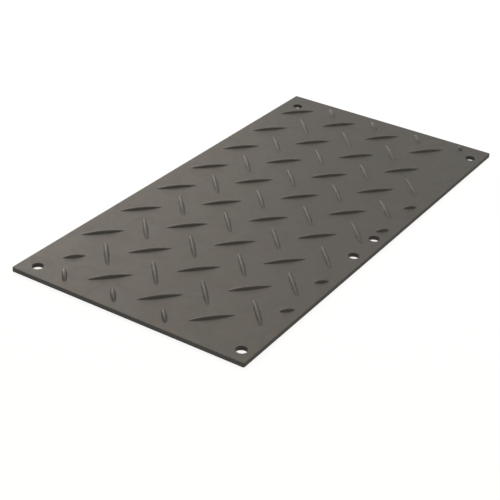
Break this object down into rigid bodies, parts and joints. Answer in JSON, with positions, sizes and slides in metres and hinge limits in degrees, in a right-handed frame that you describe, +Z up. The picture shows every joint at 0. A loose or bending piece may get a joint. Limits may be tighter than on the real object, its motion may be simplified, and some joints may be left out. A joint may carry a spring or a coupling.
{
  "type": "ground protection mat",
  "caption": "Flat rectangular ground protection mat with raised lens tread on top, a plain underside and round through holes near its corners and near edge for joining connectors or stakes.",
  "frame": {"origin": "middle of the underside, on the ground", "axes": "+X along the length, +Y across the width towards the side without the middle pair of holes, +Z up out of the tread"},
  "size_m": [1.2192, 0.6096, 0.0165],
  "materials": {
    "moulded_sheet": "dark warm grey moulded polyethylene, satin"
  },
  "bodies": {
    "root": {"mat": "moulded_sheet"}
  },
  "joints": []
}
